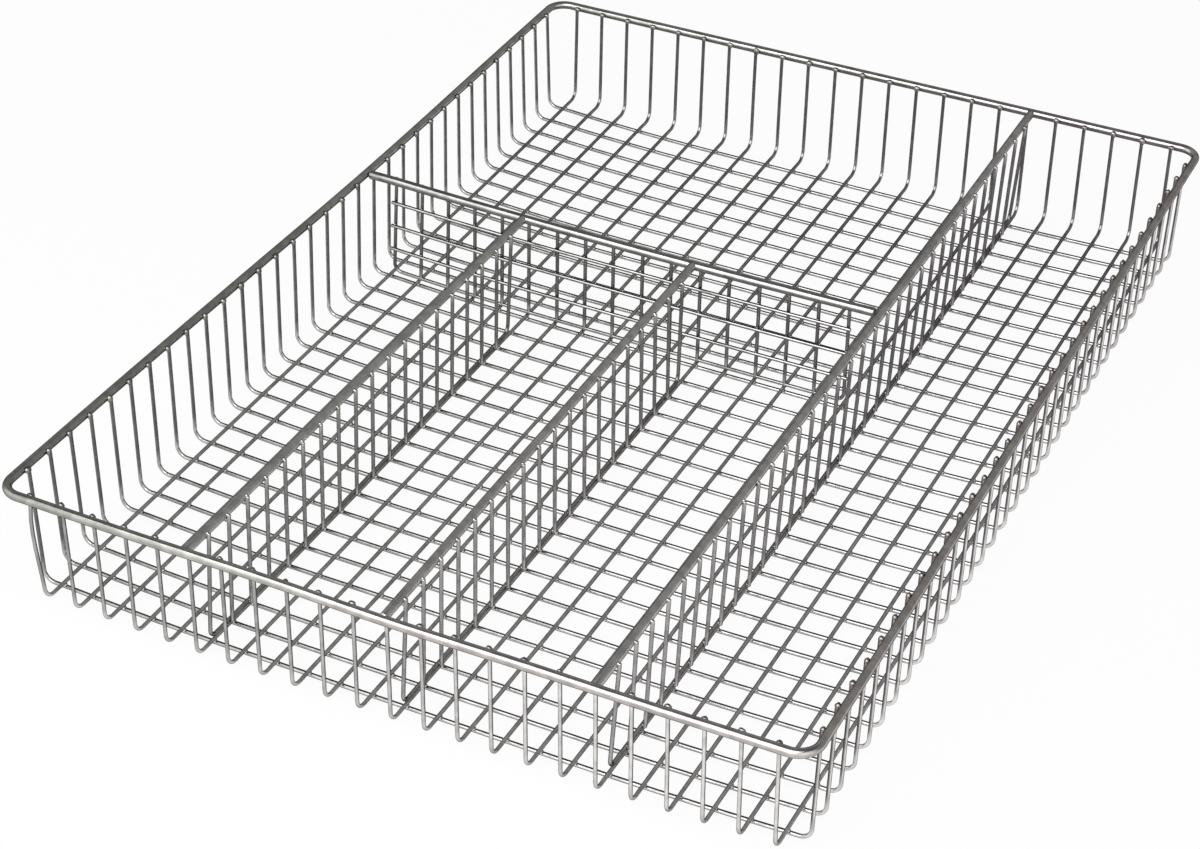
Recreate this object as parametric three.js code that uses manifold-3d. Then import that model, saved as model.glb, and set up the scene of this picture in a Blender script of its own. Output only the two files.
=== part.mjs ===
// Welded wire cutlery tray for a kitchen drawer.
// Two crossing layers of U-bent wires make the floor and the walls, a heavy rim wire ties their
// tips together, and four welded panels part the tray into five compartments.
// Millimetres, +Z up, +Y to the back. The origin is under the middle of the floor.

import * as THREE from "three";
import { mergeVertices } from "three/addons/utils/BufferGeometryUtils.js";
import Module from "manifold-3d";

const wasm = await Module();
wasm.setup();

// Wire mesh of the floor and the walls
const meshPitch = 12.7; // centre to centre, both ways
const longWireCount = 23; // wires that run from front to back
const crossWireCount = 33; // wires that run from side to side
const meshWireDiameter = 1.5;
const meshBendRadius = 4.5; // on the wire's centre line
const wallSplay = 1.2; // how far a wall leans out between the floor and the rim
const weldGap = 0.1; // left between wires that are welded to each other

// Rim
const trayHeight = 50; // underside of the floor to the top of the rim
const rimDiameter = 3.4;
const rimCornerRadius = 8; // on the wire's centre line
const sideReach = 9.3; // outermost long wire to the side walls' wire tips
const endReach = 12.1; // outermost cross wire to the end walls' wire tips
const tipDrop = 1; // top of the rim down to the wire tips

// Dividers
const railDiameter = 3.4;
const panelWireDiameter = 1.5;
const panelBendRadius = 3.5; // on the wire's centre line
const panelBite = 0.3; // how far welding sinks the wires of a panel into each other
const shortPanelFront = 10.7; // front end of a short rail to the panel's first wire
const shortPanelBack = 13.4; // panel's last wire to the back end of a short rail
const rightPanelEnd = 12.85; // ends of the right rail to the panel's first and last wires
const crossPanelLeft = 11.3; // left end of the cross rail to the panel's first wire
const crossPanelRight = 9.7; // panel's last wire to the right end of the cross rail
const panelTail = 0.6; // how far an upright runs below the centre of the panel's bottom wire
const longPanelShift = 1; // uprights of a long divider, to the right of the floor wire below
const crossPanelShift = 0.5; // uprights of the cross divider, behind the floor wire below
const columnPitches = 6; // mesh pitches between the long dividers
const crossDividerPitches = 3; // mesh pitches from the middle of the tray to the cross divider
const barCount = 3; // thin bars across the front of the cross divider
const barOverhang = 1.6; // how far a bar runs past the outermost upright's centre

// Fineness of the round forms
const wireSides = 8;
const heavySides = 12;
const bendSteps = 3;
const rimBendSteps = 4;

// Places that follow from the sizes above
const meshRadius = meshWireDiameter / 2;
const panelRadius = panelWireDiameter / 2;
const rimRadius = rimDiameter / 2;
const railRadius = railDiameter / 2;
const rimZ = trayHeight - rimRadius;
const tipZ = trayHeight - tipDrop;
const crossZ = meshRadius;
const longZ = crossZ + meshWireDiameter + weldGap;
const panelZ = longZ + meshRadius + weldGap + panelRadius;
const underRailZ = rimZ - railRadius - weldGap;
const wallX = ((longWireCount - 1) / 2) * meshPitch + sideReach;
const wallY = ((crossWireCount - 1) / 2) * meshPitch + endReach;
const rimOffset = meshRadius + weldGap + rimRadius;
const rimX = wallX + rimOffset;
const rimY = wallY + rimOffset;
const railReach = rimRadius + weldGap; // rim or rail centre line to the end of a rail that meets it
const panelOffset = railRadius + panelRadius - panelBite; // rail centre line to the panel wires
const lap = panelWireDiameter - panelBite; // between panel wires that cross

// Centre line of a bent wire, with one section at each of its knots
class WireLine extends THREE.Curve {
  constructor(knots) {
    super();
    this.knots = knots;
  }

  getPoint(t, target = new THREE.Vector3()) {
    const place = t * (this.knots.length - 1);
    const first = Math.min(Math.floor(place), this.knots.length - 2);
    return target.lerpVectors(this.knots[first].point, this.knots[first + 1].point, place - first);
  }

  getTangent(t, target = new THREE.Vector3()) {
    return target.copy(this.knots[Math.round(t * (this.knots.length - 1))].heading);
  }

  getUtoTmapping(u) {
    return u;
  }
}

function headingTo(from, to) {
  return new THREE.Vector3().subVectors(to, from).normalize();
}

// Knots of a wire that runs through the corners, each inner corner bent to the radius
function bentKnots(corners, radius, steps) {
  const last = corners.length - 1;
  const knots = [{ point: corners[0], heading: headingTo(corners[0], corners[1]) }];
  for (let i = 1; i < last; i += 1) {
    const incoming = headingTo(corners[i - 1], corners[i]);
    const outgoing = headingTo(corners[i], corners[i + 1]);
    const turn = incoming.angleTo(outgoing);
    const inward = outgoing.clone().addScaledVector(incoming, -Math.cos(turn)).normalize();
    const centre = corners[i].clone().addScaledVector(incoming, -radius * Math.tan(turn / 2));
    centre.addScaledVector(inward, radius);
    for (let step = 0; step <= steps; step += 1) {
      const angle = (turn * step) / steps;
      const heading = incoming.clone().multiplyScalar(Math.cos(angle));
      heading.addScaledVector(inward, Math.sin(angle));
      const outward = incoming.clone().multiplyScalar(Math.sin(angle));
      outward.addScaledVector(inward, -Math.cos(angle));
      knots.push({ point: centre.clone().addScaledVector(outward, radius), heading });
    }
  }
  knots.push({ point: corners[last], heading: headingTo(corners[last - 1], corners[last]) });
  return knots;
}

function straightKnots(from, to) {
  const heading = headingTo(from, to);
  return [{ point: from, heading }, { point: to, heading }];
}

// Section of a wire, a polygon whose flats lie a radius away from the centre
function wireSection(diameter, sides) {
  const outline = new THREE.Shape();
  const corner = diameter / 2 / Math.cos(Math.PI / sides);
  for (let i = 0; i < sides; i += 1) {
    const angle = ((i + 0.5) * 2 * Math.PI) / sides;
    const x = corner * Math.cos(angle);
    const y = corner * Math.sin(angle);
    if (i === 0) outline.moveTo(x, y);
    else outline.lineTo(x, y);
  }
  return outline;
}

function wire(knots, diameter, sides) {
  const extrudePath = new WireLine(knots);
  return new THREE.ExtrudeGeometry(wireSection(diameter, sides), {
    steps: knots.length - 1,
    extrudePath,
  });
}

function solidOf(geometry) {
  geometry.deleteAttribute("normal");
  geometry.deleteAttribute("uv");
  const merged = mergeVertices(geometry);
  const vertProperties = new Float32Array(merged.attributes.position.array);
  const triVerts = new Uint32Array(merged.index.array);
  return new wasm.Manifold(new wasm.Mesh({ numProp: 3, vertProperties, triVerts }));
}

// One solid of several wires that are welded into each other
function welded(wires) {
  const solid = wires.map(solidOf).reduce((whole, piece) => whole.add(piece));
  const mesh = solid.getMesh();
  const geometry = new THREE.BufferGeometry();
  geometry.setAttribute("position", new THREE.BufferAttribute(mesh.vertProperties, 3));
  geometry.setIndex(new THREE.BufferAttribute(mesh.triVerts, 1));
  geometry.computeVertexNormals();
  return geometry;
}

// A U-bent mesh wire. place(run, z) puts a point of its plane into the tray.
function meshWire(place, wall, floorZ, startZ, endZ) {
  const foot = wall - wallSplay;
  const lean = wallSplay / (rimZ - floorZ);
  const corners = [
    place(-wall - lean * (startZ - rimZ), startZ),
    place(-foot, floorZ),
    place(foot, floorZ),
    place(wall + lean * (endZ - rimZ), endZ),
  ];
  return wire(bentKnots(corners, meshBendRadius, bendSteps), meshWireDiameter, wireSides);
}

function longMeshWire(frontZ, backZ) {
  return meshWire((run, z) => new THREE.Vector3(0, run, z), wallY, longZ, frontZ, backZ);
}

function crossMeshWire(leftZ) {
  return meshWire((run, z) => new THREE.Vector3(run, 0, z), wallX, crossZ, leftZ, tipZ);
}

// The rim is bent from two like halves that meet in the middle of the ends
function rimWire() {
  const halves = [1, -1].map((side) => {
    const corners = [
      new THREE.Vector3(0, -side * rimY, rimZ),
      new THREE.Vector3(side * rimX, -side * rimY, rimZ),
      new THREE.Vector3(side * rimX, side * rimY, rimZ),
      new THREE.Vector3(0, side * rimY, rimZ),
    ];
    return wire(bentKnots(corners, rimCornerRadius, rimBendSteps), rimDiameter, heavySides);
  });
  return welded(halves);
}

// Ends of a divider's rail, and places of the first and the last wire of its panel
function panelSpan(start, end, startMargin, endMargin) {
  return { start, end, first: start + startMargin, last: end - endMargin };
}

// Wires of a divider. place(run, out, z) puts a point into the tray, with out measured from the
// rail's centre line towards the side that holds the wires.
function panelWires(place, span, footLap) {
  const { start, end, first, last } = span;
  const steps = Math.round((last - first) / meshPitch);
  const spacing = (last - first) / steps;
  const frameCorners = [
    place(first, panelOffset, tipZ),
    place(first, panelOffset - footLap, panelZ),
    place(last, panelOffset - footLap, panelZ),
    place(last, panelOffset, tipZ),
  ];
  const wires = [
    wire(straightKnots(place(start, 0, rimZ), place(end, 0, rimZ)), railDiameter, heavySides),
    wire(bentKnots(frameCorners, panelBendRadius, bendSteps), panelWireDiameter, wireSides),
  ];
  const footZ = footLap > 0 ? panelZ - panelTail : panelZ;
  for (let i = 1; i < steps; i += 1) {
    const run = first + i * spacing;
    const top = place(run, panelOffset, tipZ);
    const foot = place(run, panelOffset, footZ);
    wires.push(wire(straightKnots(top, foot), panelWireDiameter, wireSides));
  }
  return wires;
}

// A divider that runs from front to back, its uprights on the right of its rail
function longDividerWires(floorX, span) {
  const railX = floorX + longPanelShift - panelOffset;
  const place = (run, out, z) => new THREE.Vector3(railX + out, run, z);
  return panelWires(place, span, lap);
}

// The divider that runs from side to side, its uprights behind its rail and bars before them
function crossDivider(railY, span) {
  const place = (run, out, z) => new THREE.Vector3(run, railY + out, z);
  const wires = panelWires(place, span, 0);
  const barOut = panelOffset - lap;
  for (let i = 1; i <= barCount; i += 1) {
    const z = panelZ + ((rimZ - panelZ) * i) / (barCount + 1);
    const left = place(span.first - barOverhang, barOut, z);
    const right = place(span.last + barOverhang, barOut, z);
    wires.push(wire(straightKnots(left, right), panelWireDiameter, wireSides));
  }
  return welded(wires);
}

const tray = new THREE.Group();

const platedWire = { color: 0x8d8a84, roughness: 0.28, metalness: 1 };
const platedRail = { color: 0x96938d, roughness: 0.22, metalness: 1 };

function add(name, geometry, finish) {
  const mesh = new THREE.Mesh(geometry, new THREE.MeshStandardMaterial(finish));
  mesh.name = name;
  tray.add(mesh);
  return mesh;
}

function numbered(name, index) {
  return `${name}_${String(index).padStart(2, "0")}`;
}

// Numbers of the floor wires below the dividers, and where each floor wire lies
const middleColumn = Math.ceil(longWireCount / 2);
const leftColumn = middleColumn - columnPitches;
const rightColumn = middleColumn + columnPitches;
const crossDividerRow = Math.ceil(crossWireCount / 2) + crossDividerPitches;
const floorX = (index) => (index - (longWireCount + 1) / 2) * meshPitch;
const floorY = (index) => (index - (crossWireCount + 1) / 2) * meshPitch;

// A floor wire ends under a rail where the rail takes its place at the rim.
// The wire below the right divider is welded into that divider's panel.
for (let i = 1; i <= longWireCount; i += 1) {
  if (i === rightColumn) continue;
  const frontZ = i === leftColumn || i === middleColumn ? underRailZ : tipZ;
  add(numbered("long_wire", i), longMeshWire(frontZ, tipZ), platedWire).position.x = floorX(i);
}

for (let i = 1; i <= crossWireCount; i += 1) {
  const leftZ = i === crossDividerRow ? underRailZ : tipZ;
  add(numbered("cross_wire", i), crossMeshWire(leftZ), platedWire).position.y = floorY(i);
}

add("rim_wire", rimWire(), platedRail);

const railFront = -rimY + railReach;
const crossRailY = floorY(crossDividerRow) + crossPanelShift - panelOffset;
const rightRailX = floorX(rightColumn) + longPanelShift - panelOffset;
const shortRailEnd = crossRailY - railRadius - weldGap;
const crossRailEnd = rightRailX - railRadius - weldGap;

const shortSpan = panelSpan(railFront, shortRailEnd, shortPanelFront, shortPanelBack);
add("divider_left", welded(longDividerWires(floorX(leftColumn), shortSpan)), platedRail);
add("divider_middle", welded(longDividerWires(floorX(middleColumn), shortSpan)), platedRail);

const rightSpan = panelSpan(railFront, -railFront, rightPanelEnd, rightPanelEnd);
const rightDividerWires = longDividerWires(floorX(rightColumn), rightSpan);
rightDividerWires.push(longMeshWire(rimZ, rimZ).translate(floorX(rightColumn), 0, 0));
add("divider_right", welded(rightDividerWires), platedRail);

const crossSpan = panelSpan(-rimX + railReach, crossRailEnd, crossPanelLeft, crossPanelRight);
add("divider_cross", crossDivider(crossRailY, crossSpan), platedRail);

export default tray;
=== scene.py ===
import math
import random

import bpy
from mathutils import Matrix, Vector, noise


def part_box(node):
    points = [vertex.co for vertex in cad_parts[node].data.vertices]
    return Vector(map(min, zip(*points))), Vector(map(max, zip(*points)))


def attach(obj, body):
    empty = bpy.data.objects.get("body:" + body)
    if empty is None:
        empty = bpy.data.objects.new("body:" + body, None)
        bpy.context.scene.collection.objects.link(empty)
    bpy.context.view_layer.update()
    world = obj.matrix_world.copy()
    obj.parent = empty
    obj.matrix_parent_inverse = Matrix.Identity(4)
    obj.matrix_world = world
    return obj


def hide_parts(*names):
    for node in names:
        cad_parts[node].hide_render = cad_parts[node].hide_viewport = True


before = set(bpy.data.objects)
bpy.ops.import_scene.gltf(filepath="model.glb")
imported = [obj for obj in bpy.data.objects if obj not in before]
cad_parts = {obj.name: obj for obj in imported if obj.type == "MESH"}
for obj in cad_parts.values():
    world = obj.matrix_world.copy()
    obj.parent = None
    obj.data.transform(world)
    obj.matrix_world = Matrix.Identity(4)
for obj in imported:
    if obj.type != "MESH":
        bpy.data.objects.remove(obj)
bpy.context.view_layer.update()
noise.seed_set(41)  # so that the rim and the rails wave the same way on each run
print("frame loaded")

# Places in metres, read from the boxes of the CAD nodes
gap = 0.0001  # between wires that are welded together
rimLow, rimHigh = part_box("rim_wire")
rimRadius = (rimHigh.z - rimLow.z) / 2
rimX = rimHigh.x - rimRadius
rimY = rimHigh.y - rimRadius
rimZ = rimHigh.z - rimRadius
crossLow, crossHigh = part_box("cross_wire_01")
longLow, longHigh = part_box("long_wire_01")
wireRadius = (crossHigh.y - crossLow.y) / 2
crossZ = crossLow.z + wireRadius
longZ = longLow.z + wireRadius
tipZ = longHigh.z
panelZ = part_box("divider_left")[0].z + wireRadius
underRailZ = rimZ - rimRadius - gap
longCount = 23
crossCount = 33
fusedWire = 18  # this long wire is one solid with the right divider
shortWires = (6, 12)  # their front legs end under a divider's rail
shortCross = 20  # its left leg ends under the cross divider's rail


def middle(node, axis):
    low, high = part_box(node)
    return (low[axis] + high[axis]) / 2


longPlaces = {}
for number in range(1, longCount + 1):
    if number != fusedWire:
        longPlaces[number] = middle(f"long_wire_{number:02d}", 0)
longPlaces[fusedWire] = (longPlaces[fusedWire - 1] + longPlaces[fusedWire + 1]) / 2
crossPlaces = {number: middle(f"cross_wire_{number:02d}", 1) for number in range(1, crossCount + 1)}
pitch = crossPlaces[2] - crossPlaces[1]


# The tray isn't quite flat: its edges and corners stand up and its left side is pulled in
warp = {
    "flatShare": 0.4, "floorLeft": 0.0027, "floorRight": 0.002, "floorFront": 0.0018,
    "floorBack": 0.0011, "frontLeft": 0.0037, "frontRight": 0.0026, "backLeft": 0.0015,
    "backRight": 0.0029, "middleSag": 0.0022, "frontSag": 0.0008, "leftPull": 0.0023,
    "pullPlace": 0.038, "pullReach": 0.12, "floorShift": 0.0004, "cornerPull": 0.0017,
    "leftTurn": 0.0007, "rightPull": 0.0005,
}


def warped(point):
    u = max(-1.0, min(1.0, point.x / longPlaces[longCount]))
    v = max(-1.0, min(1.0, point.y / crossPlaces[crossCount]))

    def rise(share):
        return max(0.0, (share - warp["flatShare"]) / (1 - warp["flatShare"])) ** 2

    floorLift = warp["floorLeft"] * rise(-u) + warp["floorRight"] * rise(u)
    floorLift += warp["floorFront"] * rise(-v) + warp["floorBack"] * rise(v)
    front = warp["frontLeft"] * (1 - u) / 2 + warp["frontRight"] * (1 + u) / 2
    back = warp["backLeft"] * (1 - u) / 2 + warp["backRight"] * (1 + u) / 2
    topLift = front * (1 - v) / 2 + back * (1 + v) / 2
    topLift -= warp["middleSag"] * (1 - u * u) * (1 - v * v)
    topLift -= warp["frontSag"] * (1 - u * u) * ((1 - v) / 2) ** 4
    height = max(0.0, min(1.0, point.z / rimZ))
    away = (point.y - warp["pullPlace"]) / warp["pullReach"]
    floorPull = warp["floorShift"] + warp["cornerPull"] * rise(-u) * rise(-v)
    topPull = warp["leftPull"] * math.exp(-away * away) * rise(-u)
    topPull -= warp["leftTurn"] * v * (1 - u) / 2 + warp["rightPull"] * (1 + u) / 2
    pull = floorPull * (1 - height) + topPull * height
    return point + Vector((pull, 0, floorLift * (1 - height) + topLift * height))


# A shape gathers the mesh of one piece: points, faces and four values for each point
def newShape():
    return {"points": [], "faces": [], "coords": [], "heat": [], "paintedShade": [], "rim": []}


def ease(value, low, high):
    step = min(max((value - low) / (high - low), 0.0), 1.0)
    return step * step * (3 - 2 * step)


def straightPath(start, end, step):
    heading = (end - start).normalized()
    count = max(1, math.ceil((end - start).length / step))
    return [(start.lerp(end, i / count), heading) for i in range(count + 1)]


# Points and headings along a wire that turns at each inner corner
def bentPath(corners, radius, steps, step):
    path = []
    start = corners[0]
    for i in range(1, len(corners) - 1):
        incoming = (corners[i] - corners[i - 1]).normalized()
        outgoing = (corners[i + 1] - corners[i]).normalized()
        turn = incoming.angle(outgoing)
        inward = (outgoing - incoming * math.cos(turn)).normalized()
        begin = corners[i] - incoming * radius * math.tan(turn / 2)
        centre = begin + inward * radius
        path += straightPath(start, begin, step)[:-1]
        for k in range(steps + 1):
            angle = turn * k / steps
            heading = incoming * math.cos(angle) + inward * math.sin(angle)
            outward = incoming * math.sin(angle) - inward * math.cos(angle)
            path.append((centre + outward * radius, heading))
            start = path[-1][0]
        path.pop()
    return path + straightPath(start, corners[-1], step)


def addRing(shape, point, heading, across, radius, sides, run, heat, paintedShade, rim):
    up = across.cross(heading).normalized()
    side = heading.cross(up)
    for k in range(sides):
        angle = 2 * math.pi * k / sides
        outward = side * math.cos(angle) + up * math.sin(angle)
        shape["points"].append(point + outward * radius)
        shape["coords"].append((run, math.cos(angle), math.sin(angle)))
        shape["heat"].append(heat(point) if heat else 0.0)
        shape["paintedShade"].append(paintedShade(point, outward) if paintedShade else 0.0)
        shape["rim"].append(rim(point, outward) if rim else 1.0)


tipSteps = 4  # steps from the side of a wire to the flat of its tip


# Sweeps a round section along the path, with rounded tips where tipRound is given. The girth is
# for runs along Y and Z, and for runs along X
def addWire(
    shape, path, across, radius, sides, seed, tipRound=0.0, closed=False,
    heat=None, paintedShade=None, rim=None, girth=(1.0, 1.0),
):
    rings = []
    run = seed
    for i, (point, heading) in enumerate(path):
        if i:
            run += (point - path[i - 1][0]).length
        size = radius * (girth[0] + (girth[1] - girth[0]) * heading.x ** 2)
        rings.append((point, heading, size, run))
    if tipRound:
        tips = []
        for end, sign in ((0, 1), (-1, -1)):
            point, heading, size, along = rings[end]
            tip = []
            for k in range(tipSteps + 1):
                angle = math.pi / 2 * k / tipSteps
                inset = tipRound * (1 - math.sin(angle))
                narrow = tipRound * (1 - math.cos(angle))
                place = point + heading * sign * inset
                tip.append((place, heading, size - narrow, along + sign * inset))
            tips.append(tip)
        rings = tips[0][::-1] + rings[1:-1] + tips[1]
    first = len(shape["points"])
    for point, heading, size, along in rings:
        addRing(shape, point, heading, across, size, sides, along, heat, paintedShade, rim)
    count = len(rings)
    for i in range(count if closed else count - 1):
        a = first + i * sides
        b = first + (i + 1) % count * sides
        for k in range(sides):
            n = (k + 1) % sides
            shape["faces"].append((a + k, b + k, b + n, a + n))
    if not closed:
        shape["faces"].append(tuple(first + k for k in range(sides)))
        last = first + (count - 1) * sides
        shape["faces"].append(tuple(last + k for k in reversed(range(sides))))


# A weld nugget, an uneven ellipsoid, with an even share of painted shade
nuggetLook = {
    "around": 10, "levels": 5, "smallest": 0.82, "largest": 1.15, "bulge": 0.12, "lumpScale": 1.7,
    "seedReach": 50,
}


def addNugget(shape, centre, sizes, chance, paintedShade=0.0):
    around = nuggetLook["around"]
    levels = nuggetLook["levels"]
    smallest = nuggetLook["smallest"]
    largest = nuggetLook["largest"]
    scale = [size * chance.uniform(smallest, largest) for size in sizes]
    first = len(shape["points"])
    seed = chance.uniform(0, nuggetLook["seedReach"])
    for level in range(levels + 1):
        tilt = math.pi * level / levels
        for k in range(1 if level in (0, levels) else around):
            angle = 2 * math.pi * k / around
            wide = math.sin(tilt)
            unit = Vector((wide * math.cos(angle), wide * math.sin(angle), math.cos(tilt)))
            lump = noise.noise(unit * nuggetLook["lumpScale"] + Vector((seed, 0, 0)))
            bulge = 1 + nuggetLook["bulge"] * lump
            point = Vector([unit[axis] * scale[axis] * bulge for axis in range(3)])
            shape["points"].append(centre + point)
            shape["coords"].append((seed, unit.x, unit.y))
            shape["heat"].append(1.0)
            shape["paintedShade"].append(paintedShade)
            shape["rim"].append(1.0)

    def ring(level):
        return first + 1 + (level - 1) * around

    last = len(shape["points"]) - 1
    for k in range(around):
        n = (k + 1) % around
        shape["faces"].append((first, ring(1) + k, ring(1) + n))
        for level in range(1, levels - 1):
            a, b = ring(level), ring(level + 1)
            shape["faces"].append((a + k, b + k, b + n, a + n))
        a = ring(levels - 1)
        shape["faces"].append((a + k, last, a + n))


def makePiece(name, shape, material, nodes):
    mesh = bpy.data.meshes.new(name)
    mesh.from_pydata([warped(point) for point in shape["points"]], [], shape["faces"])
    mesh.polygons.foreach_set("use_smooth", [True] * len(mesh.polygons))
    coords = mesh.attributes.new("wireCoord", "FLOAT_VECTOR", "POINT")
    coords.data.foreach_set("vector", [value for coord in shape["coords"] for value in coord])
    for key in ("heat", "paintedShade", "rim"):
        mesh.attributes.new(key, "FLOAT", "POINT").data.foreach_set("value", shape[key])
    mesh.materials.append(material)
    piece = bpy.data.objects.new(name, mesh)
    bpy.context.scene.collection.objects.link(piece)
    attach(piece, "root")
    if nodes:
        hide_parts(*nodes)


# Shader node groups
def newGroup(name, inputs, outputs):
    group = bpy.data.node_groups.new(name, "ShaderNodeTree")
    for direction, sockets in (("INPUT", inputs), ("OUTPUT", outputs)):
        for label, kind in sockets:
            group.interface.new_socket(label, in_out=direction, socket_type=kind)
    return group, group.nodes.new("NodeGroupInput"), group.nodes.new("NodeGroupOutput")


def addNode(tree, kind, **settings):
    node = tree.nodes.new(kind)
    for key, value in settings.items():
        setattr(node, key, value)
    return node


def mathNode(tree, operation, first, second):
    node = addNode(tree, "ShaderNodeMath", operation=operation)
    for socket, value in zip(node.inputs, (first, second)):
        if isinstance(value, (int, float)):
            socket.default_value = value
        else:
            tree.links.new(value, socket)
    return node.outputs[0]


def rangeNode(tree, value, fromLow, fromHigh, toLow, toHigh):
    node = addNode(tree, "ShaderNodeMapRange", interpolation_type="SMOOTHSTEP")
    limits = {"From Min": fromLow, "From Max": fromHigh, "To Min": toLow, "To Max": toHigh}
    for key, number in limits.items():
        node.inputs[key].default_value = number
    tree.links.new(value, node.inputs["Value"])
    return node.outputs[0]


# The mix node's two colours are its inputs 6 and 7, and the mixed colour is its output 2
def mixColour(tree, factor, first, second, blend="MIX"):
    node = addNode(tree, "ShaderNodeMix", data_type="RGBA", blend_type=blend)
    for index, value in ((0, factor), (6, first), (7, second)):
        if isinstance(value, (int, float, tuple)):
            node.inputs[index].default_value = value
        else:
            tree.links.new(value, node.inputs[index])
    return node.outputs[2]


def noiseNode(tree, vector, scale, detail, roughness):
    node = addNode(tree, "ShaderNodeTexNoise")
    node.inputs["Scale"].default_value = scale
    node.inputs["Detail"].default_value = detail
    node.inputs["Roughness"].default_value = roughness
    tree.links.new(vector, node.inputs["Vector"])
    return node.outputs[0]


noiseSpan = (0.3, 0.7)  # most of a noise lies between these

# Drawing marks along the wire, as a normal and a mask. Each noise has scale, detail and roughness
drawnLook = {"stretch": (90, 5, 5), "noise": (1.0, 3.0, 0.6), "depth": 0.00008}


def drawnWireGroup():
    inputs = [("Strength", "NodeSocketFloat")]
    outputs = [("Normal", "NodeSocketVector"), ("Streak", "NodeSocketFloat")]
    group, enter, leave = newGroup("drawnWire", inputs, outputs)
    coord = addNode(group, "ShaderNodeAttribute", attribute_name="wireCoord")
    stretch = addNode(group, "ShaderNodeVectorMath", operation="MULTIPLY")
    stretch.inputs[1].default_value = drawnLook["stretch"]
    group.links.new(coord.outputs["Vector"], stretch.inputs[0])
    streak = noiseNode(group, stretch.outputs[0], *drawnLook["noise"])
    bump = addNode(group, "ShaderNodeBump")
    bump.inputs["Distance"].default_value = drawnLook["depth"]
    group.links.new(enter.outputs[0], bump.inputs["Strength"])
    group.links.new(streak, bump.inputs["Height"])
    group.links.new(bump.outputs[0], leave.inputs["Normal"])
    group.links.new(streak, leave.inputs["Streak"])
    return group


# Plating, faintly green to the left and pink to the right, mixed toward a painted shade colour where
# the painted shade attribute asks for it
platingLook = {
    "wideNoise": (9.0, 2.0, 0.5), "fineNoise": (220.0, 1.5, 0.6), "drift": 0.08,
    "tintSpan": (-0.12, 0.06), "leftTint": (0.985, 1.012, 0.965), "rightTint": (1.02, 0.988, 0.98),
    "specks": (0.82, 1.12),
}


def platingGroup():
    inputs = [("Bright", "NodeSocketColor"), ("PaintedShade", "NodeSocketColor"), ("Tint", "NodeSocketFloat")]
    outputs = [("Color", "NodeSocketColor")]
    group, enter, leave = newGroup("platingAndShade", inputs, outputs)
    place = addNode(group, "ShaderNodeNewGeometry")
    wide = noiseNode(group, place.outputs["Position"], *platingLook["wideNoise"])
    fine = noiseNode(group, place.outputs["Position"], *platingLook["fineNoise"])
    # Painted shade: the colour goes darker by the painted shade attribute
    paintedShade = addNode(group, "ShaderNodeAttribute", attribute_name="paintedShade")
    base = mixColour(group, paintedShade.outputs["Fac"], enter.outputs["Bright"], enter.outputs["PaintedShade"])
    split = addNode(group, "ShaderNodeSeparateXYZ")
    group.links.new(place.outputs["Position"], split.inputs[0])
    wander = rangeNode(group, wide, *noiseSpan, -platingLook["drift"], platingLook["drift"])
    drift = mathNode(group, "ADD", split.outputs["X"], wander)
    side = rangeNode(group, drift, *platingLook["tintSpan"], 0.0, 1.0)
    tint = mixColour(group, side, (*platingLook["leftTint"], 1), (*platingLook["rightTint"], 1))
    tinted = mixColour(group, enter.outputs["Tint"], base, tint, "MULTIPLY")
    speck = rangeNode(group, fine, *noiseSpan, *platingLook["specks"])
    final = mixColour(group, 1.0, tinted, speck, "MULTIPLY")
    group.links.new(final, leave.inputs["Color"])
    return group


# Browned metal round the welds
scorchLook = {
    "noise": (600.0, 2.0, 0.6), "patchSpan": (0.3, 0.65), "patches": (0.35, 1.0),
    "brown": (0.62, 0.54, 0.48),
}


def scorchGroup():
    inputs = [("Color", "NodeSocketColor"), ("Amount", "NodeSocketFloat")]
    outputs = [("Color", "NodeSocketColor"), ("Mask", "NodeSocketFloat")]
    group, enter, leave = newGroup("weldScorch", inputs, outputs)
    heat = addNode(group, "ShaderNodeAttribute", attribute_name="heat")
    place = addNode(group, "ShaderNodeNewGeometry")
    patch = noiseNode(group, place.outputs["Position"], *scorchLook["noise"])
    patchMask = rangeNode(group, patch, *scorchLook["patchSpan"], *scorchLook["patches"])
    mask = mathNode(group, "MULTIPLY", heat.outputs["Fac"], patchMask)
    amount = mathNode(group, "MULTIPLY", mask, enter.outputs["Amount"])
    brown = mixColour(group, 1.0, enter.outputs["Color"], (*scorchLook["brown"], 1), "MULTIPLY")
    group.links.new(mixColour(group, amount, enter.outputs["Color"], brown), leave.inputs["Color"])
    group.links.new(amount, leave.inputs["Mask"])
    return group


groups = {"drawn": drawnWireGroup(), "platingAndShade": platingGroup(), "scorch": scorchGroup()}
roughLook = {"smoother": -0.04, "rougher": 0.05, "scorched": 0.12}  # added to a finish's roughness


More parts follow.
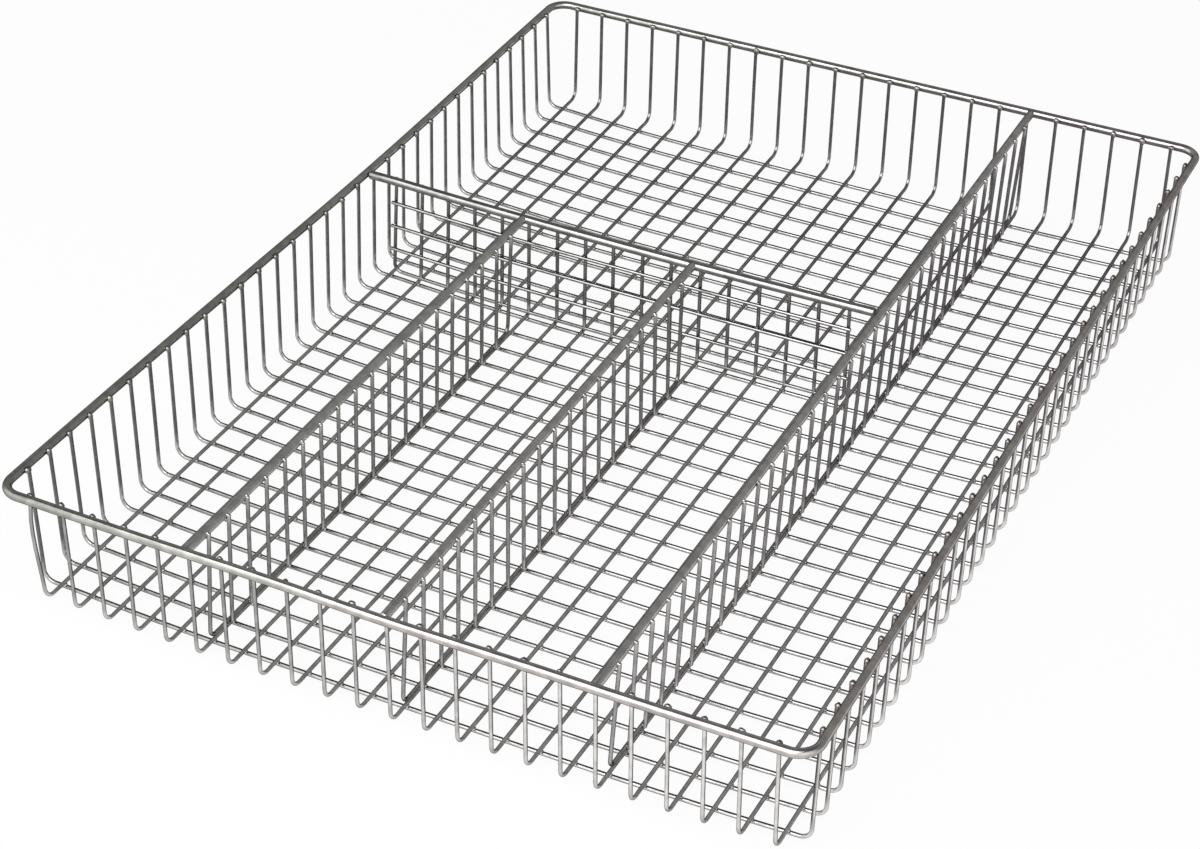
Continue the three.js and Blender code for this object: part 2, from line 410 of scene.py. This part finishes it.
def metalMaterial(name, look):
    material = bpy.data.materials.new(name)
    material.use_nodes = True
    tree = material.node_tree
    tree.nodes.clear()
    platingAndShade = addNode(tree, "ShaderNodeGroup", node_tree=groups["platingAndShade"])
    platingAndShade.inputs["Bright"].default_value = (*look["bright"], 1)
    platingAndShade.inputs["PaintedShade"].default_value = (*look["paintedShadeColour"], 1)
    platingAndShade.inputs["Tint"].default_value = look["tint"]
    scorch = addNode(tree, "ShaderNodeGroup", node_tree=groups["scorch"])
    scorch.inputs["Amount"].default_value = look["scorch"]
    tree.links.new(platingAndShade.outputs["Color"], scorch.inputs["Color"])
    drawn = addNode(tree, "ShaderNodeGroup", node_tree=groups["drawn"])
    drawn.inputs["Strength"].default_value = look["marks"]
    shader = addNode(tree, "ShaderNodeBsdfPrincipled")
    shader.inputs["Metallic"].default_value = 1.0
    shader.inputs["Specular Tint"].default_value = (*look["edge"], 1)
    smoothest = look["rough"] + roughLook["smoother"]
    roughest = look["rough"] + roughLook["rougher"]
    rough = rangeNode(tree, drawn.outputs["Streak"], *noiseSpan, smoothest, roughest)
    scorched = mathNode(tree, "MULTIPLY", scorch.outputs["Mask"], roughLook["scorched"])
    tree.links.new(mathNode(tree, "ADD", rough, scorched), shader.inputs["Roughness"])
    # Painted reflection: the colour darkens toward the wire's outline, standing in for dark
    # surroundings reflected there
    facing = addNode(tree, "ShaderNodeLayerWeight")
    edge = rangeNode(tree, facing.outputs["Facing"], *look["paintedEdgeSpan"], 0.0, look["paintedEdgeDepth"])
    share = addNode(tree, "ShaderNodeAttribute", attribute_name="rim")
    edge = mathNode(tree, "MULTIPLY", edge, share.outputs["Fac"])
    colour = mixColour(tree, edge, scorch.outputs["Color"], (*look["paintedEdgeColour"], 1))
    tree.links.new(colour, shader.inputs["Base Color"])
    tree.links.new(drawn.outputs["Normal"], shader.inputs["Normal"])
    output = addNode(tree, "ShaderNodeOutputMaterial")
    tree.links.new(shader.outputs[0], output.inputs["Surface"])
    return material


# Each finish has a bright colour, a colour for painted shade, and a painted dark edge that stands in
# for dark reflections at the sides of a wire. The rim attribute says how much of that painted edge a
# point gets
finishes = {
    "mesh": {
        "bright": (0.7, 0.694, 0.682), "paintedShadeColour": (0.152, 0.148, 0.152), "edge": (0.3, 0.3, 0.3),
        "paintedEdgeColour": (0.04, 0.04, 0.042), "paintedEdgeSpan": (0.3, 0.75), "paintedEdgeDepth": 0.8,
        "tint": 0.7, "scorch": 0.8, "marks": 0.1, "rough": 0.18,
    },
    "heavy": {
        "bright": (0.5, 0.48, 0.467), "paintedShadeColour": (0.15, 0.148, 0.147), "edge": (0.35, 0.35, 0.35),
        "paintedEdgeColour": (0.08, 0.08, 0.085), "paintedEdgeSpan": (0.45, 0.9), "paintedEdgeDepth": 0.75,
        "tint": 1.0, "scorch": 0.8, "marks": 0.08, "rough": 0.2,
    },
    "rail": {
        "bright": (0.55, 0.546, 0.536), "paintedShadeColour": (0.19, 0.187, 0.187), "edge": (0.3, 0.3, 0.3),
        "paintedEdgeColour": (0.09, 0.09, 0.09), "paintedEdgeSpan": (0.5, 0.95), "paintedEdgeDepth": 0.6,
        "tint": 1.0, "scorch": 0.6, "marks": 0.2, "rough": 0.26,
    },
    "grille": {
        "bright": (0.48, 0.476, 0.468), "paintedShadeColour": (0.16, 0.156, 0.158), "edge": (0.3, 0.3, 0.3),
        "paintedEdgeColour": (0.04, 0.04, 0.042), "paintedEdgeSpan": (0.28, 0.75), "paintedEdgeDepth": 0.8,
        "tint": 0.8, "scorch": 0.1, "marks": 0.1, "rough": 0.2,
    },
}
meshMetal = metalMaterial("meshMetal", finishes["mesh"])
heavyMetal = metalMaterial("heavyMetal", finishes["heavy"])
railMetal = metalMaterial("railMetal", finishes["rail"])
grilleMetal = metalMaterial("grilleMetal", finishes["grille"])
print("materials made")

# Mesh wires of the floor and the walls. Each span is where a change starts and where it is full
meshLook = {
    "sides": 14, "bendRadius": 0.0045, "bendSteps": 10, "splay": 0.0012, "tipRound": 0.00055,
    "step": 0.00635, "girth": (0.97, 1.06), "nugget": (0.00105, 0.00105, 0.0005),
    # waviness, one bowed leg and some low tips
    "wobble": 0.00012, "waveScale": 22, "seedReach": 90, "seedScale": 7.3, "bowedWire": 1,
    "bow": 0.0017, "bowSkew": 1.7, "lowTips": (4, 5, 14, 17), "lowTip": 0.0016,
    # heat near the rim, and painted shade on the floor
    "weldSpan": (0.0008, 0.0035), "underSpan": (-0.3, 0.0), "lowSpan": (-0.15, 0.15),
    "rearSpan": (-0.79, -0.53), "backSpan": (0.02, 0.16), "leftSpan": (0.0, 0.12), "leftFar": 0.38,
    "crossFar": 0.25, "longNear": 0.22, "longFar": 0.6,
    # painted shade and less painted dark edge on the legs, with bendLight in bend radii from the foot
    "legSpan": (0.003, 0.012), "innerSpan": (-0.6, -0.1), "frontSpan": (-0.75, -0.1),
    "frontLeft": 0.58, "frontLeftSpan": (-0.08, 0.08), "bendLight": (1.5, 0.5), "leftEdge": 1.0,
    "leftEdgeSpan": (-0.1, 0.8),
}


def rimHeat(point):
    return 1 - ease(abs(point.z - rimZ), *meshLook["weldSpan"])


# Painted shade: wires are darker underneath
def paintedUnderShade(outward):
    return ease(-outward.z, *meshLook["underSpan"])


# Painted shade: wires from side to side are darker all round except on a strip that faces the front
def paintedFlankShade(point, outward):
    rear = ease(outward.y, *meshLook["rearSpan"])
    low = ease(-outward.z, *meshLook["lowSpan"])
    return max(low, rear)


# Painted shade, stronger to the left and the back
def paintedFarShade(point, axis):
    back = ease(point.y, *meshLook["backSpan"])
    if axis == 1:
        return meshLook["longNear"] + (meshLook["longFar"] - meshLook["longNear"]) * back
    return max(meshLook["leftFar"] * ease(-point.x, *meshLook["leftSpan"]), meshLook["crossFar"] * back)


# Painted shade: legs are darker on the side that faces the inside of the tray, and front legs to the
# left too
def legPaintedShade(axis, foot):
    bend = meshLook["bendRadius"]

    def paintedShade(point, outward):
        leg = ease(point.z, *meshLook["legSpan"])
        inward = -math.copysign(1, point[axis])
        under = paintedFlankShade(point, outward) if axis == 0 else paintedUnderShade(outward)
        under *= 1 - ease(abs(point[axis]), foot - 2 * bend, foot)
        under += (1 - under) * paintedFarShade(point, axis)
        inner = ease(outward[axis] * inward, *meshLook["innerSpan"])
        if axis == 1 and point.y < 0:
            inner = ease(outward.y, *meshLook["frontSpan"])
            inner += (1 - inner) * meshLook["frontLeft"] * ease(-point.x, *meshLook["frontLeftSpan"])
        return under + (inner - under) * leg

    return paintedShade


# The bends and the left side of the front legs get less of the painted dark edge, so their edges look
# lit
def legPaintedEdge(axis, foot):
    start, full = [foot - share * meshLook["bendRadius"] for share in meshLook["bendLight"]]

    def rim(point, outward):
        leg = ease(point.z, *meshLook["legSpan"])
        low = ease(abs(point[axis]), start, full) * (1 - leg)
        left = 0.0
        if axis == 1 and point.y < 0:
            left = ease(-outward.x, *meshLook["leftEdgeSpan"]) * leg * meshLook["leftEdge"]
        return (1 - low) * (1 - left)

    return rim


# A U-bent wire along one axis, a little wavy, whose first leg may bow sideways
def addMeshWire(shape, axis, place, wallTip, floorZ, startZ, endZ, seed, bow=0.0):
    across = Vector((1, 0, 0)) if axis == 1 else Vector((0, 1, 0))
    lean = meshLook["splay"] / (rimZ - floorZ)
    wall = wallTip - lean * (tipZ - rimZ)
    foot = wall - meshLook["splay"]
    startRun = -wall - lean * (startZ - rimZ)
    endRun = wall + lean * (endZ - rimZ)
    corners = []
    for run, z in ((startRun, startZ), (-foot, floorZ), (foot, floorZ), (endRun, endZ)):
        corners.append(Vector((place, run, z)) if axis == 1 else Vector((run, place, z)))
    path = bentPath(corners, meshLook["bendRadius"], meshLook["bendSteps"], meshLook["step"])
    scale = meshLook["waveScale"]
    waved = []
    for point, heading in path:
        wave = Vector((point[axis] * scale, point.z * scale, seed * meshLook["seedScale"]))
        sway = noise.noise(wave) * meshLook["wobble"]
        if point[axis] < -foot:
            height = min(1.0, max(0.0, point.z / rimZ))
            sway -= bow * math.sin(math.pi * height ** meshLook["bowSkew"])
        waved.append((point + across * sway, heading))
    addWire(
        shape, waved, across, wireRadius, meshLook["sides"], seed, meshLook["tipRound"], heat=rimHeat,
        paintedShade=legPaintedShade(axis, foot), rim=legPaintedEdge(axis, foot), girth=meshLook["girth"],
    )


chance = random.Random(41)  # every random draw comes from this one
wallTip = longHigh.y - wireRadius
for number in range(1, longCount + 1):
    shape = newShape()
    frontZ = underRailZ if number in shortWires or number == fusedWire else tipZ
    if number in meshLook["lowTips"]:
        frontZ -= meshLook["lowTip"]
    backZ = underRailZ if number == fusedWire else tipZ
    bow = meshLook["bow"] if number == meshLook["bowedWire"] else 0.0
    seed = chance.uniform(0, meshLook["seedReach"])
    addMeshWire(shape, 1, longPlaces[number], wallTip, longZ, frontZ, backZ, seed, bow)
    nodes = [] if number == fusedWire else [f"long_wire_{number:02d}"]
    makePiece(f"longWire{number:02d}", shape, meshMetal, nodes)
wallTip = crossHigh.x - wireRadius
floorZ = crossZ + wireRadius * (meshLook["girth"][1] - 1)
weldZ = (crossZ + longZ) / 2
for number in range(1, crossCount + 1):
    shape = newShape()
    leftZ = underRailZ if number == shortCross else tipZ
    y = crossPlaces[number]
    addMeshWire(shape, 0, y, wallTip, floorZ, leftZ, tipZ, chance.uniform(0, meshLook["seedReach"]))
    for x in longPlaces.values():
        addNugget(shape, Vector((x, y, weldZ)), meshLook["nugget"], chance)
    makePiece(f"crossWire{number:02d}", shape, meshMetal, [f"cross_wire_{number:02d}"])
print("mesh wires made")

# Rim, a closed loop, with a weld nugget at every leg
rimLook = {
    "sides": 24, "cornerRadius": 0.008, "cornerSteps": 12, "step": 0.00635, "girth": (0.98, 1.05),
    "seed": 3.0, "nugget": (0.0014, 0.0011, 0.0014), "nuggetIn": 0.0005, "nuggetShelter": 0.6,
    # waviness all round, and a longer wave along the front
    "wobble": 0.00015, "waveScale": 14, "frontWave": 0.0005, "wavePlace": -0.02, "waveReach": 0.07,
    "waveDip": 0.013, "waveLength": 0.13,
    # painted shade
    "innerSpan": (0.0, 0.5), "leftShelter": 0.2, "leftSpan": (0.14, 0.15), "frontShelter": 0.3,
    "frontSpan": (0.05, 0.13),
}


def rimPath():
    places = ((0, -rimY), (rimX, -rimY), (rimX, rimY), (-rimX, rimY), (-rimX, -rimY), (0, -rimY))
    corners = [Vector((x, y, rimZ)) for x, y in places]
    path = bentPath(corners, rimLook["cornerRadius"], rimLook["cornerSteps"], rimLook["step"])
    return path[:-1]


# Painted shade on the rim: darker low on its inner side, and along its left side and the left part of
# its front
def rimPaintedShade(point, outward):
    if rimX - abs(point.x) < rimY - abs(point.y):
        inner = -outward.x * math.copysign(1, point.x)
    else:
        inner = -outward.y * math.copysign(1, point.y)
    low = paintedUnderShade(outward) * ease(inner, *rimLook["innerSpan"])
    left = rimLook["leftShelter"] * ease(-point.x, *rimLook["leftSpan"])
    if point.y < 0:
        left = max(left, rimLook["frontShelter"] * ease(-point.x, *rimLook["frontSpan"]))
    return low + (1 - low) * left


shape = newShape()
path = []
for point, heading in rimPath():
    sway = noise.noise_vector(point * rimLook["waveScale"]) * rimLook["wobble"]
    if point.y < 0:
        swell = math.exp(-((point.x - rimLook["wavePlace"]) / rimLook["waveReach"]) ** 2)
        phase = 2 * math.pi * (point.x - rimLook["waveDip"]) / rimLook["waveLength"]
        sway.z -= rimLook["frontWave"] * swell * math.cos(phase)
    path.append((point + sway, heading))
addWire(
    shape, path, Vector((0, 0, 1)), rimRadius, rimLook["sides"], rimLook["seed"], closed=True,
    paintedShade=rimPaintedShade, girth=rimLook["girth"],
)
across, deep, tall = rimLook["nugget"]
for number, x in longPlaces.items():
    for side in (-1, 1):
        if number in shortWires and side < 0 or number == fusedWire:
            continue
        place = Vector((x, side * (rimY - rimRadius - rimLook["nuggetIn"]), rimZ))
        addNugget(shape, place, (across, deep, tall), chance, rimLook["nuggetShelter"])
for number, y in crossPlaces.items():
    for side in (-1, 1):
        if number == shortCross and side < 0:
            continue
        place = Vector((side * (rimX - rimRadius - rimLook["nuggetIn"]), y, rimZ))
        addNugget(shape, place, (deep, across, tall), chance, rimLook["nuggetShelter"])
makePiece("rimWire", shape, heavyMetal, ["rim_wire"])
print("rim made")

# Divider panels: rail, frame wire and uprights, and bars on the cross divider
panelLook = {
    "railSides": 24, "wireSides": 14, "bendRadius": 0.0035, "bendSteps": 8, "step": 0.00635,
    "tipRound": 0.00055, "railRound": 0.0006, "railSink": 0.0013, "bite": 0.0003, "tail": 0.0006,
    "overhang": 0.0016, "girth": (1.0, 1.06), "nugget": (0.0008, 0.0008, 0.001),
    # waviness of the rail, and uneven uprights
    "wobble": 0.00015, "waveScale": 15, "uprightShift": 0.0002, "tipDrop": 0.0003, "frameSeed": 5,
    "barSeed": 60,
    # painted shade on the grille
    "frontShelter": 0.2, "leftShelter": 0.4, "leftSpan": (-0.06, 0.08), "backShelter": 0.97,
    "backSpan": (-0.22, 0.07), "footLight": 0.5, "footShelter": 0.5,
    # painted shade on the rail, and less painted dark edge on one side of it
    "rearShelter": 0.45, "rearSpan": (-0.72, -0.5), "lightEdge": 0.8, "lightEdgeSpan": (0.5, 0.9),
}
panelOut = rimRadius + wireRadius - panelLook["bite"]
lap = 2 * wireRadius - panelLook["bite"]


# Painted shade on the grilles: darker to the left and the back, less at the foot and none at the rail
def panelPaintedShade(point, outward):
    left = ease(-point.x, *panelLook["leftSpan"])
    light = panelLook["frontShelter"] + panelLook["leftShelter"] * left
    back = ease(point.y, *panelLook["backSpan"])
    dark = light + (panelLook["backShelter"] - light) * back
    foot = 1 - ease(point.z, panelZ + wireRadius, panelZ + 2 * wireRadius)
    dark *= 1 - panelLook["footLight"] * foot
    return dark * (1 - rimHeat(point))


# One panel: put turns a run along it, a distance out of its rail and a height into a point. The
# rail's ends sink into the wires that it is welded to, and railShare is how much painted shade the rail
# gets
def addPanel(
    name, node, put, across, outward, start, end, sinks, margins, footLap, railShare, bars, seed,
):
    # Painted shade on the rail, underneath it and on its rear side
    def railPaintedShade(point, side):
        low = max(paintedUnderShade(side), panelLook["rearShelter"] * ease(side.y, *panelLook["rearSpan"]))
        return railShare * (low + (1 - low) * paintedFarShade(point, 0))

    # The rail's painted dark edge is weaker on the side that faces +X, so that edge looks lit
    def railPaintedEdge(point, side):
        return 1 - panelLook["lightEdge"] * ease(side.x, *panelLook["lightEdgeSpan"])

    shape = newShape()
    sides = panelLook["wireSides"]
    step = panelLook["step"]
    tip = panelLook["tipRound"]
    first = start + margins[0]
    last = end - margins[1]
    spaces = round((last - first) / pitch)
    spacing = (last - first) / spaces
    railStart = start - sinks[0]
    railLength = end + sinks[1] - railStart
    railSteps = math.ceil(railLength / step)
    rail = []
    for i in range(railSteps + 1):
        run = railStart + railLength * i / railSteps
        point = put(run, 0, rimZ)
        heading = (put(run + step, 0, rimZ) - put(run - step, 0, rimZ)).normalized()
        sway = noise.noise_vector(point * panelLook["waveScale"]) * panelLook["wobble"]
        rail.append((point + sway, heading))
    railShape = newShape()
    addWire(
        railShape, rail, Vector((0, 0, 1)), rimRadius, panelLook["railSides"], seed,
        panelLook["railRound"], paintedShade=railPaintedShade, rim=railPaintedEdge, girth=panelLook["girth"],
    )
    makePiece(f"{name}Rail", railShape, railMetal, [])
    corners = [
        put(first, panelOut, tipZ), put(first, panelOut - footLap, panelZ),
        put(last, panelOut - footLap, panelZ), put(last, panelOut, tipZ),
    ]
    path = bentPath(corners, panelLook["bendRadius"], panelLook["bendSteps"], step)
    addWire(
        shape, path, outward, wireRadius, sides, seed + panelLook["frameSeed"], tip, heat=rimHeat,
        paintedShade=panelPaintedShade,
    )
    footZ = panelZ - panelLook["tail"] if footLap else panelZ
    shift = panelLook["uprightShift"]
    nugget = panelLook["nugget"]
    for i in range(spaces + 1):
        run = first + i * spacing
        if 0 < i < spaces:
            topRun = run + chance.uniform(-1, 1) * shift
            top = put(topRun, panelOut, tipZ - chance.uniform(0, panelLook["tipDrop"]))
            foot = put(run + chance.uniform(-1, 1) * shift, panelOut, footZ)
            upright = straightPath(top, foot, step)
            addWire(
                shape, upright, across, wireRadius, sides, seed + i, tip, heat=rimHeat,
                paintedShade=panelPaintedShade,
            )
            place = put(run, panelOut - footLap / 2, panelZ)
            addNugget(shape, place, nugget, chance, panelLook["footShelter"])
        addNugget(shape, put(run, rimRadius, rimZ), nugget, chance)
    for i in range(1, bars + 1):
        z = panelZ + (rimZ - panelZ) * i / (bars + 1)
        left = put(first - panelLook["overhang"], panelOut - lap, z)
        right = put(last + panelLook["overhang"], panelOut - lap, z)
        bar = straightPath(left, right, step)
        barSeed = seed + panelLook["barSeed"] + i
        addWire(shape, bar, Vector((0, 0, 1)), wireRadius, sides, barSeed, tip, paintedShade=paintedFlankShade)
        for k in range(spaces + 1):
            addNugget(shape, put(first + k * spacing, panelOut - lap / 2, z), nugget, chance)
    makePiece(f"{name}Grille", shape, grilleMetal, [node])


# Long dividers. The top of each leans, by amounts for its front, middle and back, and a push bends
# it at one place. Margins are from the panel's ends to its first and last upright
longLooks = {
    "dividerLeft": {
        "node": "divider_left", "margins": (0.0107, 0.0134), "leans": (0.001, 0.0007, 0.0004),
        "push": 0.0, "seed": 110,
    },
    "dividerMiddle": {
        "node": "divider_middle", "margins": (0.0107, 0.0134), "leans": (0.00105, -0.00035, -0.00075),
        "push": 0.0, "seed": 210,
    },
    "dividerRight": {
        "node": "divider_right", "margins": (0.01285, 0.01285), "leans": (0.0017, 0.002, 0.002),
        "push": 0.0002, "seed": 310,
    },
}
pushLook = {"place": 0.068, "reach": 0.05}


def longPanel(name, look):
    node = look["node"]
    leans = look["leans"]
    low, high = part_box(node)
    railX = low.x + rimRadius
    sink = panelLook["railSink"]

    def put(run, out, z):
        share = (run - low.y) / (high.y - low.y)
        lean = leans[0] * (1 - share) * (1 - 2 * share) + leans[1] * 4 * share * (1 - share)
        lean += leans[2] * share * (2 * share - 1)
        away = (run - pushLook["place"]) / pushLook["reach"]
        lean += look["push"] * math.exp(-away * away)
        return Vector((railX + out + lean * z / rimZ, run, z))

    addPanel(
        name, node, put, across=Vector((0, 1, 0)), outward=Vector((1, 0, 0)), start=low.y, end=high.y,
        sinks=(sink, sink), margins=look["margins"], footLap=lap, railShare=0.0, bars=0,
        seed=look["seed"],
    )


for name, look in longLooks.items():
    longPanel(name, look)

# Cross divider, with its bars, whose rail sags a little
crossLook = {"margins": (0.0113, 0.0097), "sag": 0.0002, "bars": 3, "railShare": 1.0, "seed": 410}
crossPanelLow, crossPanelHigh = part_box("divider_cross")


def putCross(run, out, z):
    share = (run - crossPanelLow.x) / (crossPanelHigh.x - crossPanelLow.x)
    sag = crossLook["sag"] * math.sin(math.pi * max(0.0, min(1.0, share)))
    return Vector((run, crossPanelLow.y + rimRadius + out, z - sag * z / rimZ))


addPanel(
    "dividerCross", "divider_cross", putCross, across=Vector((1, 0, 0)), outward=Vector((0, 1, 0)),
    start=crossPanelLow.x, end=crossPanelHigh.x, sinks=(0, panelLook["railSink"]),
    margins=crossLook["margins"], footLap=0, railShare=crossLook["railShare"], bars=crossLook["bars"],
    seed=crossLook["seed"],
)
print("dividers made")

# Floor: white to the camera, with part of the object's shadow
floorLook = {
    "radius": 4.0, "edges": 64, "colour": (0.86, 0.86, 0.86), "speck": (0.7, 0.7, 0.7),
    "speckShare": 0.03, "noise": (300.0, 2.0, 0.5), "glow": 0.93,
}


def makeFloor():
    mesh = bpy.data.meshes.new("floor")
    radius = floorLook["radius"]
    count = floorLook["edges"]
    points = []
    for k in range(count):
        angle = 2 * math.pi * k / count
        points.append((radius * math.cos(angle), radius * math.sin(angle), 0))
    mesh.from_pydata(points, [], [tuple(range(count))])
    material = bpy.data.materials.new("floorPaper")
    material.use_nodes = True
    tree = material.node_tree
    tree.nodes.clear()
    diffuse = addNode(tree, "ShaderNodeBsdfDiffuse")
    place = addNode(tree, "ShaderNodeNewGeometry")
    grain = noiseNode(tree, place.outputs["Position"], *floorLook["noise"])
    share = rangeNode(tree, grain, *noiseSpan, 0.0, floorLook["speckShare"])
    paper = mixColour(tree, share, (*floorLook["colour"], 1), (*floorLook["speck"], 1))
    tree.links.new(paper, diffuse.inputs["Color"])
    glow = addNode(tree, "ShaderNodeEmission")
    rays = addNode(tree, "ShaderNodeLightPath")
    seen = mathNode(tree, "ADD", rays.outputs["Is Camera Ray"], rays.outputs["Is Glossy Ray"])
    seen = mathNode(tree, "ADD", seen, rays.outputs["Is Transmission Ray"])
    seen = mathNode(tree, "MINIMUM", seen, 1.0)
    share = mathNode(tree, "MULTIPLY", seen, floorLook["glow"])
    blend = addNode(tree, "ShaderNodeMixShader")
    tree.links.new(share, blend.inputs[0])
    tree.links.new(diffuse.outputs[0], blend.inputs[1])
    tree.links.new(glow.outputs[0], blend.inputs[2])
    output = addNode(tree, "ShaderNodeOutputMaterial")
    tree.links.new(blend.outputs[0], output.inputs["Surface"])
    mesh.materials.append(material)
    floor = bpy.data.objects.new("floor", mesh)
    bpy.context.scene.collection.objects.link(floor)


makeFloor()

# Light: a large softbox above the front, and a room that is bright in front and dim behind and above
lightLook = {
    "softboxPlace": (-0.07, -1.42, 1.0), "softboxSize": (1.18, 2.0), "softboxPower": 23.0,
    "softboxColour": (0.95, 0.98, 1.0), "front": (1.45, 1.41, 1.39), "rear": (0.345, 0.345, 0.34),
    "top": (0.16, 0.17, 0.19), "rearSpan": (-0.25, 0.3), "topSpan": (0.66, 0.82),
}


def makeLights():
    light = bpy.data.lights.new("softbox", "AREA")
    light.shape = "RECTANGLE"
    light.size, light.size_y = lightLook["softboxSize"]
    light.energy = lightLook["softboxPower"]
    light.color = lightLook["softboxColour"]
    lamp = bpy.data.objects.new("softbox", light)
    lamp.location = lightLook["softboxPlace"]
    bpy.context.scene.collection.objects.link(lamp)
    world = bpy.data.worlds.new("room")
    world.use_nodes = True
    tree = world.node_tree
    tree.nodes.clear()
    coord = addNode(tree, "ShaderNodeTexCoord")
    split = addNode(tree, "ShaderNodeSeparateXYZ")
    tree.links.new(coord.outputs["Generated"], split.inputs[0])
    rearward = rangeNode(tree, split.outputs["Y"], *lightLook["rearSpan"], 0.0, 1.0)
    upward = rangeNode(tree, split.outputs["Z"], *lightLook["topSpan"], 0.0, 1.0)
    around = mixColour(tree, rearward, (*lightLook["front"], 1), (*lightLook["rear"], 1))
    colour = mixColour(tree, upward, around, (*lightLook["top"], 1))
    background = addNode(tree, "ShaderNodeBackground")
    tree.links.new(colour, background.inputs["Color"])
    output = addNode(tree, "ShaderNodeOutputWorld")
    tree.links.new(background.outputs[0], output.inputs["Surface"])
    bpy.context.scene.world = world


makeLights()

# Camera at the photograph's place, angles in degrees
cameraLook = {
    "azimuth": 24.51389, "elevation": 34.36593, "roll": 1.87127, "distance": 1.1101657,
    "target": (-0.0145472, -0.0199856, 0.00302), "lens": 85.6121, "sensor": 36, "nearClip": 0.01,
}


def makeCamera():
    azimuth = math.radians(cameraLook["azimuth"])
    elevation = math.radians(cameraLook["elevation"])
    roll = math.radians(cameraLook["roll"])
    level = math.cos(elevation)
    back = Vector((math.sin(azimuth) * level, -math.cos(azimuth) * level, math.sin(elevation)))
    right = Vector((math.cos(azimuth), math.sin(azimuth), 0))
    up = back.cross(right)
    turnedRight = right * math.cos(roll) + up * math.sin(roll)
    turnedUp = up * math.cos(roll) - right * math.sin(roll)
    place = Vector(cameraLook["target"]) + back * cameraLook["distance"]
    camera = bpy.data.cameras.new("camera")
    camera.sensor_fit = "HORIZONTAL"
    camera.sensor_width = cameraLook["sensor"]
    camera.lens = cameraLook["lens"]
    camera.clip_start = cameraLook["nearClip"]
    holder = bpy.data.objects.new("camera", camera)
    turned = Matrix((turnedRight, turnedUp, back)).transposed().to_4x4()
    holder.matrix_world = Matrix.Translation(place) @ turned
    bpy.context.scene.collection.objects.link(holder)
    bpy.context.scene.camera = holder


makeCamera()
bpy.context.scene.view_settings.view_transform = "Standard"
print("stage made")

bpy.context.view_layer.update()
